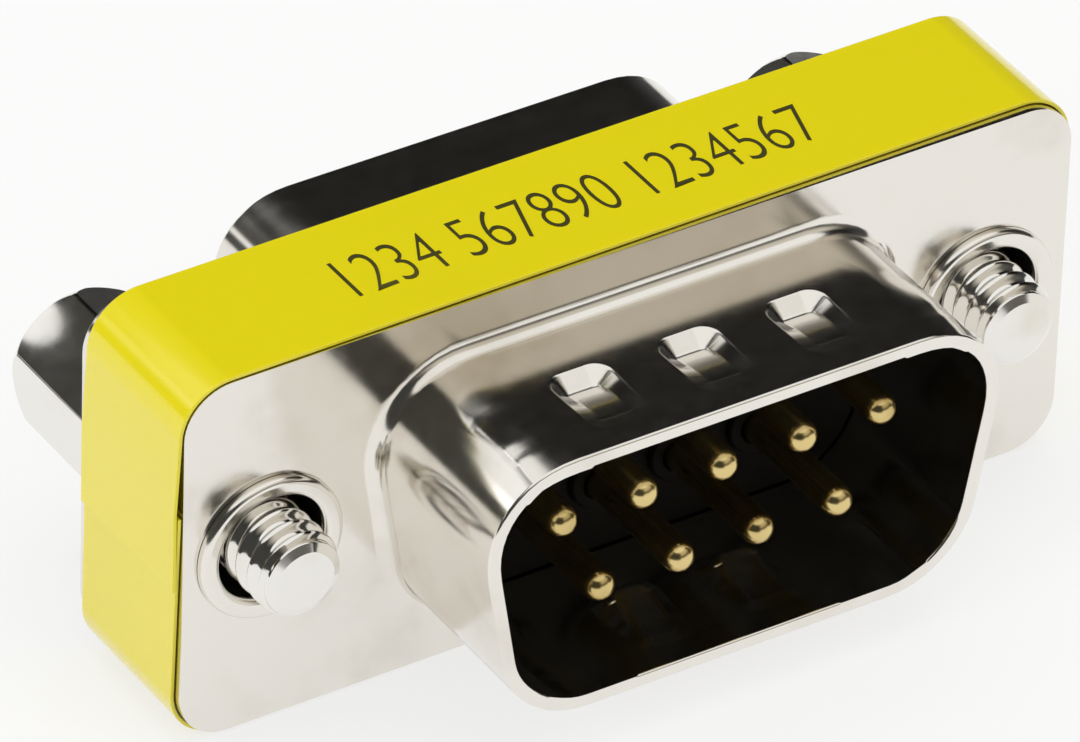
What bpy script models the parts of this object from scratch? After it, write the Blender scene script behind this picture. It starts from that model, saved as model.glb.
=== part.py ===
"""Nine-way D connector adapter: pins at the front, sockets at the back.

X runs along the flanges, Y from the plug towards the socket, Z up.
The adapter stands on a long side, with five pins in the upper row.
"""
import math

import bmesh
import bpy

MM = 0.001

# Flanges and the body between them
FLANGE_LENGTH = 30.81 * MM
FLANGE_HEIGHT = 12.55 * MM
FLANGE_CORNER = 1.6 * MM
SHEET = 0.45 * MM
BODY_DEPTH = 5.80 * MM
BEND_RADIUS = 0.50 * MM
SPACER_INSET = 0.45 * MM

# The rear flange's long edges stand back from the front one's by this much
REAR_FLANGE_STEP = 0.40 * MM

# The screws' axes lie this far in from the flanges' ends
SCREW_FROM_END = 2.91 * MM
SCREW_SPACING = FLANGE_LENGTH - 2 * SCREW_FROM_END

# Plug tube, D-shaped: its inner side clears the screws' axes and the flange's long edges
SIDE_LEAN = math.radians(10)
TUBE_FROM_SCREW = 4.345 * MM
TUBE_FROM_EDGE = 2.15 * MM
PLUG_INNER_WIDTH = SCREW_SPACING - 2 * TUBE_FROM_SCREW
PLUG_INNER_HEIGHT = FLANGE_HEIGHT - 2 * TUBE_FROM_EDGE
PLUG_INNER_CORNER = 2.50 * MM
PLUG_REACH = 6.20 * MM

# Socket tube: its outer side slides inside another plug's tube with this play
SIDE_PLAY = 0.25 * MM
FLAT_PLAY = 0.175 * MM
SOCKET_OUTER_WIDTH = PLUG_INNER_WIDTH - 2 * SIDE_PLAY
SOCKET_OUTER_HEIGHT = PLUG_INNER_HEIGHT - 2 * FLAT_PLAY
SOCKET_OUTER_CORNER = 2.50 * MM
SOCKET_REACH = 4.75 * MM

# Pockets pressed into the plug tube's long sides, spread over their flat part
POCKET_PITCH_SHARE = 0.3292
POCKET_WIDTH_SHARE = 0.19115
POCKET_FLAT = PLUG_INNER_WIDTH - 2 * PLUG_INNER_CORNER
POCKET_PITCH = POCKET_PITCH_SHARE * POCKET_FLAT
POCKET_WIDTH = POCKET_WIDTH_SHARE * POCKET_FLAT
POCKET_SLOPE = 0.27 * MM
POCKET_DEPTH = 0.45 * MM
POCKET_END_DEPTH = 0.07 * MM
POCKET_START = 2.30 * MM
POCKET_LENGTH = 3.10 * MM
UPPER_POCKET_COUNT = 3
LOWER_POCKET_COUNT = 2

# Pins and the sockets behind them, spread over the plug tube's width
PITCH_SHARE = 0.16994
PIN_PITCH = PITCH_SHARE * PLUG_INNER_WIDTH
ROW_SPACING = 2.84 * MM
UPPER_PIN_COUNT = 5
LOWER_PIN_COUNT = 4
PIN_RADIUS = 0.51 * MM
PIN_REACH = 5.30 * MM
COLLAR_RADIUS = 0.85 * MM
TAIL_RADIUS = 0.40 * MM
TAIL_LENGTH = 1.50 * MM
TAIL_BORE_DEPTH = 1.65 * MM
BARREL_RADIUS = 0.78 * MM
BARREL_BORE_RADIUS = 0.55 * MM
BARREL_BORE_DEPTH = 4.60 * MM
BARREL_RECESS = 0.45 * MM
MOUTH_RADIUS = 0.62 * MM
MOUTH_FLARE = 0.20 * MM

# Insulators
PLUG_FACE = 0.30 * MM
BOSS_HEIGHT = 0.30 * MM
BOSS_SHARE = 0.3538
BOSS_RADIUS = BOSS_SHARE * PIN_PITCH
BOSS_TAPER = 0.10 * MM
PIN_SEAT_DEPTH = 1.30 * MM
SOCKET_FACE_RECESS = 0.20 * MM
ROOT_RIM = 0.40 * MM

# Screw sleeves and jackscrews
SLEEVE_BORE_RADIUS = 1.76 * MM
SLEEVE_WALL = 0.34 * MM
SLEEVE_RIM_RADIUS = 2.42 * MM
SLEEVE_RIM_HEIGHT = 0.32 * MM
SLEEVE_LIP_LENGTH = 0.60 * MM
SCREW_RADIUS = 1.42 * MM
SCREW_TIP_REACH = 2.10 * MM
SCREW_TIP_CHAMFER = 0.45 * MM
NECK_RADIUS = 1.05 * MM
SCREW_PLAY = 0.10 * MM
HEAD_ACROSS_FLATS = 4.40 * MM
HEAD_LENGTH = 5.00 * MM
HEAD_TURN = math.radians(8)
HEAD_FACE_STEP = 0.14 * MM
HEAD_FRONT_CHAMFER = 0.20 * MM
HEAD_REAR_CHAMFER = 0.75 * MM
HEAD_HOLE_RADIUS = 1.15 * MM
HEAD_HOLE_DEPTH = 3.80 * MM
HEAD_HOLE_FLARE = 0.30 * MM

# Label strip: how far its front and back edges lie in from the body's two faces, where it runs
# true and where it is skewed
LABEL_THICKNESS = 0.12 * MM
LABEL_GAP = 0.03 * MM
LABEL_FRONT_TRUE = 0.32 * MM
LABEL_FRONT_SKEWED = 0.04 * MM
LABEL_BACK_TRUE = 0.35 * MM
LABEL_BACK_SKEWED = 0.48 * MM
LABEL_LAP = 2.60 * MM
LABEL_LAP_END = -0.65 * MM

# Clearances
CONTACT_FIT = 0.04 * MM
SHELL_FIT = 0.05 * MM
SLEEVE_FIT = 0.05 * MM
SEAT_GAP = 0.04 * MM

# Facets
ARC_STEPS = 6
BEND_STEPS = 4
NOSE_STEPS = 4
NOSE_START = 12
PIN_SIDES = 12
SCREW_SIDES = 24
CREASE = 40
ON_EDGE = 1e-7

FLANGE_SIZE = (FLANGE_LENGTH, FLANGE_HEIGHT, FLANGE_CORNER)
REAR_FLANGE_SIZE = (FLANGE_LENGTH, FLANGE_HEIGHT - 2 * REAR_FLANGE_STEP, FLANGE_CORNER)
BODY_MIDDLE = BODY_DEPTH / 2
SOCKET_FACE = BODY_DEPTH + SOCKET_REACH - SOCKET_FACE_RECESS
HALF_HEIGHT = FLANGE_HEIGHT / 2 + LABEL_GAP + LABEL_THICKNESS
CENTRE_Y = (BODY_DEPTH + SOCKET_REACH - PLUG_REACH) / 2


def clear_scene():
    for old in list(bpy.data.objects):
        bpy.data.objects.remove(old, do_unlink=True)


def material(name, colour, metallic, roughness):
    made = bpy.data.materials.new(name)
    made.use_nodes = True
    shader = made.node_tree.nodes["Principled BSDF"]
    shader.inputs["Base Color"].default_value = (*colour, 1.0)
    shader.inputs["Metallic"].default_value = metallic
    shader.inputs["Roughness"].default_value = roughness
    return made


def arc(centre, radius, start, end, steps):
    """Points on an arc in the X-Z plane, angles in degrees."""
    points = []
    for step in range(steps + 1):
        angle = math.radians(start + (end - start) * step / steps)
        points.append((centre[0] + radius * math.cos(angle), centre[1] + radius * math.sin(angle)))
    return points


def circle(radius, sides, centre=(0.0, 0.0)):
    return arc(centre, radius, 0, 360, sides)[:-1]


def rounded_rectangle(length, height, corner, steps=ARC_STEPS):
    x = length / 2 - corner
    z = height / 2 - corner
    points = []
    for centre, start in (((x, z), 0), ((-x, z), 90), ((-x, -z), 180), ((x, -z), 270)):
        points += arc(centre, corner, start, start + 90, steps)
    return points


def grown(size, offset):
    """Width, height and corner radius of a D that lies `offset` outside the given one."""
    width, height, corner = size
    return (width + 2 * offset / math.cos(SIDE_LEAN), height + 2 * offset, corner + offset)


def d_outline(size, upper_stations=(), lower_stations=()):
    """Points round a D with its wide side up; stations add points along its long sides."""
    width, height, corner = size
    lean = math.degrees(SIDE_LEAN)

    def corner_centre(z):
        return width / 2 + (z * math.sin(SIDE_LEAN) - corner) / math.cos(SIDE_LEAN)

    z = height / 2 - corner
    upper = corner_centre(z)
    lower = corner_centre(-z)
    points = arc((upper, z), corner, -lean, 90, ARC_STEPS)
    points += [(x, height / 2) for x in reversed(upper_stations)]
    points += arc((-upper, z), corner, 90, 180 + lean, ARC_STEPS)
    points += arc((-lower, -z), corner, 180 + lean, 270, ARC_STEPS)
    points += [(x, -height / 2) for x in lower_stations]
    points += arc((lower, -z), corner, 270, 360 - lean, ARC_STEPS)
    return points


def ring(outline, y):
    return [(x, y, z) for x, z in outline]


def closed_loop(bm, points):
    """A loop of new vertices and the edges between them."""
    verts = [bm.verts.new(point) for point in points]
    edges = [bm.edges.new((verts[i - 1], verts[i])) for i in range(len(verts))]
    return verts, edges


def skin(bm, rings):
    """Walls between rings of equal length; returns the edges of the first and the last ring."""
    loops = [closed_loop(bm, points) for points in rings]
    for (near, _), (far, _) in zip(loops, loops[1:]):
        for i in range(len(near)):
            bm.faces.new((near[i - 1], near[i], far[i], far[i - 1]))
    return loops[0], loops[-1]


def finished(bm, name, colour):
    """A smooth-shaded object from a closed mesh."""
    bmesh.ops.recalc_face_normals(bm, faces=bm.faces)
    mesh = bpy.data.meshes.new(name)
    bm.to_mesh(mesh)
    bm.free()
    mesh.materials.append(colour)
    mesh.shade_smooth()
    mesh.set_sharp_from_angle(angle=math.radians(CREASE))
    return placed(mesh, name)


def placed(mesh, name, location=(0.0, 0.0, 0.0)):
    made = bpy.data.objects.new(name, mesh)
    made.location = location
    made.parent = frame
    bpy.context.scene.collection.objects.link(made)
    return made


def pierced_solid(name, outer_rings, hole_rings, colour):
    """A solid with flat ends: an outer wall and walls through it, each given from front to back."""
    bm = bmesh.new()
    walls = [skin(bm, outer_rings)] + [skin(bm, rings) for rings in hole_rings]
    for end in (0, 1):
        edges = [edge for wall in walls for edge in wall[end][1]]
        bmesh.ops.triangle_fill(bm, use_beauty=True, use_dissolve=False, edges=edges)
    return finished(bm, name, colour)


def turned_solid(name, rings, colour):
    """A solid skinned over rings, with a flat face at its first ring and at its last."""
    bm = bmesh.new()
    first, last = skin(bm, rings)
    bm.faces.new(first[0])
    bm.faces.new(last[0])
    return finished(bm, name, colour)


def turned_rings(profile, sides):
    """Rings for a profile of (radius, y) points round the Y axis."""
    return [ring(circle(radius, sides), y) for radius, y in profile]


def pocket_stations(count):
    """Places along X where the pockets' outer and inner edges lie."""
    outer = POCKET_WIDTH / 2
    floor = outer - POCKET_SLOPE
    stations = []
    for number in range(count):
        middle = (number - (count - 1) / 2) * POCKET_PITCH
        stations += [middle - outer, middle - floor, middle + floor, middle + outer]
    return stations


def pocket_depth(x, reach, count):
    """How far a point at `x` and `reach` in front of the flange is pressed in."""
    floor_start = POCKET_START + POCKET_SLOPE
    floor_end = POCKET_START + POCKET_LENGTH - POCKET_SLOPE
    if not floor_start - POCKET_SLOPE / 2 < reach < floor_end + POCKET_SLOPE / 2:
        return 0.0
    share = (reach - floor_start) / (floor_end - floor_start)
    for number in range(count):
        middle = (number - (count - 1) / 2) * POCKET_PITCH
        if abs(x - middle) < POCKET_WIDTH / 2 - POCKET_SLOPE / 2:
            return POCKET_DEPTH + (POCKET_END_DEPTH - POCKET_DEPTH) * share
    return 0.0


def pressed(outline, reach, height):
    """An outline with its long sides pushed in where the pockets lie."""
    points = []
    for x, z in outline:
        if abs(z - height / 2) < ON_EDGE:
            z -= pocket_depth(x, reach, UPPER_POCKET_COUNT)
        elif abs(z + height / 2) < ON_EDGE:
            z += pocket_depth(x, reach, LOWER_POCKET_COUNT)
        points.append((x, z))
    return points


def stamped_shell(name, flange, inner, reach, pockets, colour):
    """Flange and D-shaped tube drawn from one sheet.

    The tube points to -Y and the flange's face lies at y = 0.
    """
    upper = []
    lower = []
    pocket_rows = []
    if pockets:
        upper = pocket_stations(UPPER_POCKET_COUNT)
        lower = pocket_stations(LOWER_POCKET_COUNT)
        end = POCKET_START + POCKET_LENGTH
        pocket_rows = [POCKET_START, POCKET_START + POCKET_SLOPE, end - POCKET_SLOPE, end]

    def tube_ring(offset, forward):
        size = grown(inner, offset)
        outline = d_outline(size, upper, lower)
        if pockets:
            outline = pressed(outline, forward, size[1])
        return ring(outline, -forward)

    def bend(radius):
        middle = SHEET + BEND_RADIUS
        rings = []
        for step in range(BEND_STEPS + 1):
            angle = math.pi / 2 * step / BEND_STEPS
            offset = middle - radius * math.sin(angle)
            rings.append(tube_ring(offset, BEND_RADIUS - radius * math.cos(angle)))
        return rings

    rings = bend(BEND_RADIUS)
    rings += [tube_ring(SHEET, row) for row in pocket_rows]
    for step in range(BEND_STEPS + 1):
        angle = math.pi * step / BEND_STEPS
        offset = SHEET / 2 + SHEET / 2 * math.cos(angle)
        rings.append(tube_ring(offset, reach - SHEET / 2 + SHEET / 2 * math.sin(angle)))
    rings += [tube_ring(0.0, row) for row in reversed(pocket_rows)]
    rings += reversed(bend(BEND_RADIUS + SHEET))

    outline = rounded_rectangle(*flange)
    holes = [rings] + sleeve_holes(0.0, SHEET)
    return pierced_solid(name, [ring(outline, 0.0), ring(outline, SHEET)], holes, colour)


def sleeve_holes(front, back):
    """The two round holes that the screw sleeves pass through."""
    radius = SLEEVE_BORE_RADIUS + SLEEVE_WALL + SLEEVE_FIT
    holes = []
    for side in (-1, 1):
        hole = circle(radius, SCREW_SIDES, (side * SCREW_SPACING / 2, 0.0))
        holes.append([ring(hole, front), ring(hole, back)])
    return holes


def contact_places():
    """Where each contact stands, upper row first, from left to right."""
    places = []
    for count, z in ((UPPER_PIN_COUNT, ROW_SPACING / 2), (LOWER_PIN_COUNT, -ROW_SPACING / 2)):
        for number in range(count):
            places.append(((number - (count - 1) / 2) * PIN_PITCH, z))
    return places


def contact_rings(profile):
    """One set of rings per contact, for a profile of (radius, y) points."""
    sets = []
    for place in contact_places():
        sets.append([ring(circle(radius, PIN_SIDES, place), y) for radius, y in profile])
    return sets


def plug_insulator(inner, colour):
    """Moulding in the root of the plug tube, with a raised boss round each pin."""
    body = d_outline(grown(inner, -SHELL_FIT))
    root = d_outline(grown(inner, SHEET + BEND_RADIUS + ROOT_RIM))
    root_front = SHEET + SEAT_GAP
    back = BODY_MIDDLE - SEAT_GAP / 2
    outer = [ring(body, -PLUG_FACE), ring(body, root_front), ring(root, root_front), ring(root, back)]
    seat = PIN_SEAT_DEPTH
    hole = PIN_RADIUS + CONTACT_FIT
    wide = COLLAR_RADIUS + CONTACT_FIT
    boss_top = -PLUG_FACE - BOSS_HEIGHT
    profile = [(BOSS_RADIUS, -PLUG_FACE), (BOSS_RADIUS - BOSS_TAPER, boss_top), (hole, boss_top)]
    profile += [(hole, seat), (wide, seat), (wide, back)]
    return pierced_solid("plug_insulator", outer, contact_rings(profile), colour)


def socket_insulator(inner, colour):
    """Moulding that fills the socket tube, with a flared mouth for each pin at its back."""
    body = d_outline(grown(inner, -SHELL_FIT))
    root = d_outline(grown(inner, SHEET + BEND_RADIUS + ROOT_RIM))
    front = BODY_MIDDLE + SEAT_GAP / 2
    root_back = BODY_DEPTH - SHEET - SEAT_GAP
    outer = [ring(root, front), ring(root, root_back), ring(body, root_back), ring(body, SOCKET_FACE)]
    wide = BARREL_RADIUS + CONTACT_FIT
    stop = SOCKET_FACE - BARREL_RECESS
    profile = [(wide, front), (wide, stop), (MOUTH_RADIUS, stop)]
    profile.append((MOUTH_RADIUS, SOCKET_FACE - MOUTH_FLARE))
    profile.append((MOUTH_RADIUS + MOUTH_FLARE, SOCKET_FACE))
    return pierced_solid("socket_insulator", outer, contact_rings(profile), colour)


def spacer(plug_inner, socket_inner, colour):
    """Frame between the flanges, round the roots of the insulators and the two sleeves."""
    front = SHEET + SEAT_GAP
    back = BODY_DEPTH - SHEET - SEAT_GAP
    length = FLANGE_LENGTH - 2 * SPACER_INSET
    height = FLANGE_HEIGHT - 2 * SPACER_INSET
    outline = rounded_rectangle(length, height, FLANGE_CORNER - SPACER_INSET)
    rim = SHEET + BEND_RADIUS + ROOT_RIM + SHELL_FIT
    plug_opening = d_outline(grown(plug_inner, rim))
    socket_opening = d_outline(grown(socket_inner, rim))
    step = BODY_MIDDLE
    opening = [ring(plug_opening, front), ring(plug_opening, step)]
    opening += [ring(socket_opening, step), ring(socket_opening, back)]
    holes = [opening] + sleeve_holes(front, back)
    return pierced_solid("spacer", [ring(outline, front), ring(outline, back)], holes, colour)


def pin(colour):
    """Bullet-nosed pin with a collar inside the plug insulator and a tail behind it."""
    profile = []
    for step in range(NOSE_STEPS + 1):
        angle = math.radians(NOSE_START + (90 - NOSE_START) * step / NOSE_STEPS)
        profile.append((PIN_RADIUS * math.sin(angle), -PIN_REACH + PIN_RADIUS * (1 - math.cos(angle))))
    collar = PIN_SEAT_DEPTH + CONTACT_FIT
    back = BODY_MIDDLE - SEAT_GAP / 2
    profile += [(PIN_RADIUS, collar), (COLLAR_RADIUS, collar), (COLLAR_RADIUS, back)]
    profile += [(TAIL_RADIUS, back), (TAIL_RADIUS, back + TAIL_LENGTH)]
    return turned_solid("pin_1", turned_rings(profile, PIN_SIDES), colour)


def socket(colour):
    """Barrel bored from the front for a pin's tail, and from the back for the pin that plugs in."""
    front = BODY_MIDDLE + SEAT_GAP / 2
    end = SOCKET_FACE - BARREL_RECESS - CONTACT_FIT
    tail = TAIL_RADIUS + CONTACT_FIT
    profile = [(tail, front + TAIL_BORE_DEPTH), (tail, front)]
    profile += [(BARREL_RADIUS, front), (BARREL_RADIUS, end)]
    profile += [(BARREL_BORE_RADIUS, end), (BARREL_BORE_RADIUS, end - BARREL_BORE_DEPTH)]
    return turned_solid("socket_1", turned_rings(profile, PIN_SIDES), colour)


def repeated(first, places):
    """The first copy and the others, numbered from it, that share its mesh."""
    stem = first.name.removesuffix("_1")
    for number, (x, z) in enumerate(places, start=1):
        if number == 1:
            first.location = (x, 0.0, z)
        else:
            placed(first.data, "%s_%d" % (stem, number), (x, 0.0, z))


def sleeves(colour):
    """Tubes rolled over outside both flanges, with a lip at the back that keeps the screw in."""
    bore = SLEEVE_BORE_RADIUS
    tube = bore + SLEEVE_WALL
    rim = SLEEVE_RIM_RADIUS
    lip = NECK_RADIUS + SCREW_PLAY
    seat = SEAT_GAP / 2
    half = SLEEVE_RIM_HEIGHT / 2

    def rolled(face, out):
        """The rim's outer half round, from the tube's bore side to its outer edge."""
        points = []
        for step in range(BEND_STEPS + 1):
            angle = math.pi / 2 * step / BEND_STEPS
            radius = rim - half + half * math.sin(angle)
            points.append((radius, face + out * (half + half * math.cos(angle))))
        return points

    front_rim = [(bore, -half), (bore + half / 2, -2 * half)] + rolled(0.0, -1)
    front_rim += [(rim, -seat), (tube, -seat)]
    back = BODY_DEPTH
    back_rim = [(tube, back + seat), (rim, back + seat)] + list(reversed(rolled(back, 1)))
    inside = [(lip, back + 2 * half), (lip, back - SLEEVE_LIP_LENGTH), (bore, back - SLEEVE_LIP_LENGTH)]
    profile = front_rim + back_rim + inside
    bm = bmesh.new()
    skin_closed(bm, turned_rings(profile, SCREW_SIDES))
    pair(finished(bm, "sleeve_left", colour), "sleeve_right")


def pair(left, right_name):
    """A piece on the left screw's axis and its twin on the right one."""
    left.location = (-SCREW_SPACING / 2, 0.0, 0.0)
    placed(left.data, right_name, (SCREW_SPACING / 2, 0.0, 0.0))


def skin_closed(bm, rings):
    """Walls between rings, with the last ring joined back to the first."""
    loops = [[bm.verts.new(point) for point in points] for points in rings]
    for near, far in zip(loops, loops[1:] + loops[:1]):
        for i in range(len(near)):
            bm.faces.new((near[i - 1], near[i], far[i], far[i - 1]))


def hexagon(across_flats, limit):
    """A hexagon, one flat near +X, with its corners cut back to a circle of radius `limit`."""
    points = []
    for number in range(SCREW_SIDES):
        angle = 2 * math.pi * number / SCREW_SIDES
        turn = (angle + math.pi / 6) % (math.pi / 3) - math.pi / 6
        radius = min(across_flats / 2 / math.cos(turn), limit)
        points.append((radius * math.cos(angle + HEAD_TURN), radius * math.sin(angle + HEAD_TURN)))
    return points


def chamfered_hexagon(face, shoulder):
    """Rings from a turned face to the full hexagon, whose corners a cone cuts back."""
    flat = HEAD_ACROSS_FLATS / 2
    narrow = flat - HEAD_FACE_STEP
    corner = flat / math.cos(math.pi / 6)
    rings = []
    for step in range(BEND_STEPS + 1):
        share = step / BEND_STEPS
        limit = narrow + (corner - narrow) * share
        rings.append(ring(hexagon(HEAD_ACROSS_FLATS, limit), face + (shoulder - face) * share))
    return rings


def jackscrews(colour):
    """Chamfered tip, shank, thin neck in the sleeve's lip, and a hexagonal head bored from the back."""
    shoulder = BODY_DEPTH - SLEEVE_LIP_LENGTH - SCREW_PLAY
    head = BODY_DEPTH + SLEEVE_RIM_HEIGHT + SCREW_PLAY
    tip = -SCREW_TIP_REACH
    end = head + HEAD_LENGTH
    profile = [(SCREW_RADIUS - SCREW_TIP_CHAMFER, tip), (SCREW_RADIUS, tip + SCREW_TIP_CHAMFER)]
    profile += [(SCREW_RADIUS, shoulder), (NECK_RADIUS, shoulder), (NECK_RADIUS, head)]
    rings = turned_rings(profile, SCREW_SIDES)
    rings += chamfered_hexagon(head, head + HEAD_FRONT_CHAMFER)
    rings += reversed(chamfered_hexagon(end, end - HEAD_REAR_CHAMFER))
    hole = [(HEAD_HOLE_RADIUS + HEAD_HOLE_FLARE, end), (HEAD_HOLE_RADIUS, end - HEAD_HOLE_FLARE)]
    hole.append((HEAD_HOLE_RADIUS, end - HEAD_HOLE_DEPTH))
    rings += turned_rings(hole, SCREW_SIDES)
    pair(turned_solid("jackscrew_left", rings, colour), "jackscrew_right")


def label_path():
    """Points (x, z) of the strip's inner face with their outward normals and the skew at each.

    The strip starts on the left end, goes down and round under the body, and laps over its start.
    """
    length = FLANGE_LENGTH + 2 * LABEL_GAP
    height = FLANGE_HEIGHT + 2 * LABEL_GAP
    corner = FLANGE_CORNER + LABEL_GAP
    x = length / 2 - corner
    z = height / 2 - corner
    lap = LABEL_THICKNESS + LABEL_GAP
    start = LABEL_LAP_END + LABEL_LAP
    path = [(-length / 2, start, 180, 0.0)]
    corners = (((-x, -z), 180, 0.0), ((x, -z), 270, 0.0), ((x, z), 0, 0.0), ((-x, z), 90, 1.0))
    for centre, turn, skew in corners:
        for step in range(ARC_STEPS + 1):
            angle = turn + 90 * step / ARC_STEPS
            point = arc(centre, corner, angle, angle, 1)[0]
            path.append((*point, angle, skew))
    path.append((-length / 2 - lap, start + LABEL_THICKNESS, 180, 1.0))
    path.append((-length / 2 - lap, LABEL_LAP_END, 180, 1.0))
    return path


def label(colour):
    """Printed strip wrapped round the body, slightly askew, with its end lapped over its start."""
    rings = []
    for x, z, angle, skew in label_path():
        out_x = LABEL_THICKNESS * math.cos(math.radians(angle))
        out_z = LABEL_THICKNESS * math.sin(math.radians(angle))
        front = LABEL_FRONT_TRUE + (LABEL_FRONT_SKEWED - LABEL_FRONT_TRUE) * skew
        back = BODY_DEPTH - LABEL_BACK_TRUE - (LABEL_BACK_SKEWED - LABEL_BACK_TRUE) * skew
        inner = [(x, front, z), (x, back, z)]
        rings.append(inner + [(x + out_x, back, z + out_z), (x + out_x, front, z + out_z)])
    return turned_solid("label", rings, colour)


clear_scene()
frame = bpy.data.objects.new("adapter_frame", None)
frame.location = (0.0, -CENTRE_Y, HALF_HEIGHT)
bpy.context.scene.collection.objects.link(frame)

nickel = material("nickel_plate", (0.72, 0.69, 0.63), 1.0, 0.25)
bright_nickel = material("bright_nickel", (0.76, 0.74, 0.70), 1.0, 0.18)
gold = material("gold_plate", (0.86, 0.62, 0.24), 1.0, 0.22)
black = material("black_moulding", (0.012, 0.011, 0.010), 0.0, 0.45)
yellow = material("yellow_label", (0.76, 0.64, 0.004), 0.0, 0.35)

plug_inner = (PLUG_INNER_WIDTH, PLUG_INNER_HEIGHT, PLUG_INNER_CORNER)
socket_inner = grown((SOCKET_OUTER_WIDTH, SOCKET_OUTER_HEIGHT, SOCKET_OUTER_CORNER), -SHEET)
stamped_shell("plug_shell", FLANGE_SIZE, plug_inner, PLUG_REACH, True, nickel)
socket_shell = stamped_shell("socket_shell", REAR_FLANGE_SIZE, socket_inner, SOCKET_REACH, False, nickel)
socket_shell.rotation_euler = (0.0, 0.0, math.pi)
socket_shell.location = (0.0, BODY_DEPTH, 0.0)
plug_insulator(plug_inner, black)
socket_insulator(socket_inner, black)
spacer(plug_inner, socket_inner, black)
repeated(pin(gold), contact_places())
repeated(socket(gold), contact_places())
sleeves(nickel)
jackscrews(bright_nickel)
label(yellow)
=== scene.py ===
"""Nine-way D connector adapter: plated shells, gold contacts, captive jackscrews and a yellow label.

The pieces are drawn in millimetres round the middle of the front flange, with the plug towards -Y,
and each finished piece is then set into the part's own frame in metres.
"""
import math

import bmesh
import bpy
from mathutils import Matrix, Vector


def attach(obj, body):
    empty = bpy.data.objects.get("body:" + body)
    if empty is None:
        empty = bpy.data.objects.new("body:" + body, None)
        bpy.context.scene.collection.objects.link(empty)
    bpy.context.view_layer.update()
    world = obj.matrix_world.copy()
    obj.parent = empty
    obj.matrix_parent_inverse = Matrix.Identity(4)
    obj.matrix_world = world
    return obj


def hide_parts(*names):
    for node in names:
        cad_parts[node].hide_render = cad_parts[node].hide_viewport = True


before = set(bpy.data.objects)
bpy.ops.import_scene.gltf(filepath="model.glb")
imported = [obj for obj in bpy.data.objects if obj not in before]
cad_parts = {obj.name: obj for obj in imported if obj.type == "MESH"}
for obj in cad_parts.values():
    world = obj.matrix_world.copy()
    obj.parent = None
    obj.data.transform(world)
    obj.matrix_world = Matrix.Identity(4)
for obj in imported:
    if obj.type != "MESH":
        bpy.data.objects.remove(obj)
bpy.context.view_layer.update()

# The part's own measures, in millimetres, and where the middle of the front flange lies in metres
HOME = (0.0, -0.002175, 0.006425)
FLANGE_LENGTH = 30.81
FLANGE_HEIGHT = 12.55
REAR_FLANGE_HEIGHT = 11.75
FLANGE_CORNER = 1.6
SHEET = 0.45
BODY_DEPTH = 5.80
BEND_RADIUS = 0.50
SIDE_LEAN = math.radians(10)
PLUG_INNER = (16.30, 8.25, 2.50)
PLUG_REACH = 6.20
SOCKET_OUTER = (15.80, 7.90, 2.50)
SOCKET_REACH = 4.75
SLEEVE_HOLE_RADIUS = 2.15

# Pockets in the plug tube's long sides
POCKET_PITCH = 3.72
POCKET_WIDTH = 2.16
POCKET_START = 2.30
POCKET_LENGTH = 3.10
POCKET_CORNER = 0.66
POCKET_BORDER = 0.55
POCKET_WALL = 0.60
POCKET_BACK_DEPTH = 0.41
POCKET_FRONT_DEPTH = 0.085
POCKET_ROUND = 0.18
POCKET_STRIP = 0.25
POCKET_CURVE = (0.68, 0.32)

# Contacts and insulators
PIN_PITCH = 2.77
ROW_SPACING = 2.84
PIN_RADIUS = 0.51
PIN_REACH = 5.30
PIN_HOLE_RADIUS = 0.555
PLUG_FACE = -0.30
ROOT_FRONT = 0.49
ROOT_SPLIT = (2.88, 2.92)
ROOT_BACK = 5.31
ROOT_RIM = 0.40
SHELL_FIT = 0.05
SOCKET_FACE = 10.35

# Screw sleeves
SLEEVE_BORE_RADIUS = 1.76
SLEEVE_TUBE_RADIUS = 2.10
SLEEVE_RIM_RADIUS = 2.42
SLEEVE_LIP_RADIUS = 1.15
SLEEVE_LIP_START = 5.20

# Jackscrews
SCREW_X = 12.495
SCREW_RADIUS = 1.42
THREAD_PITCH = 0.635
TIP = -2.10
NECK_RADIUS = 1.05
NECK_START = 5.10
HEAD_FRONT = 6.22
HEAD_BACK = 11.22
HEAD_ACROSS_FLATS = 4.40
HEAD_TURN = math.radians(8)

# Label
LABEL_GAP = 0.03
LABEL_THICKNESS = 0.12
LABEL_LAP = 0.15
LABEL_START = 1.95
LABEL_LAP_START = 2.10
LABEL_LAP_END = -0.65
LABEL_FRONT_TRUE = 0.32
LABEL_FRONT_SKEWED = 0.04
LABEL_BACK = 5.17
LABEL_SKEW = 0.15
PRINT_HEIGHT = 2.85
PRINT_LENGTH = 16.3


def only(piece):
    bpy.ops.object.select_all(action="DESELECT")
    piece.select_set(True)
    bpy.context.view_layer.objects.active = piece
    return piece


def editing(piece):
    only(piece)
    bpy.ops.object.mode_set(mode="EDIT")
    bpy.ops.mesh.select_mode(type="VERT")


def resting():
    bpy.ops.object.mode_set(mode="OBJECT")


def pick(piece, kind, wanted):
    """In edit mode, selects just the vertices, edges or faces that are wanted."""
    bpy.ops.mesh.select_mode(type=kind)
    bpy.ops.mesh.select_all(action="DESELECT")
    shape = bmesh.from_edit_mesh(piece.data)
    shape.normal_update()
    for part in {"VERT": shape.verts, "EDGE": shape.edges, "FACE": shape.faces}[kind]:
        if wanted(part):
            part.select_set(True)
    bmesh.update_edit_mesh(piece.data)


def named(piece, name):
    piece.name = name
    piece.data.name = name
    return piece


def joined(main, *others):
    bpy.ops.object.select_all(action="DESELECT")
    for other in others:
        other.select_set(True)
    main.select_set(True)
    bpy.context.view_layer.objects.active = main
    bpy.ops.object.join()
    return main


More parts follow.
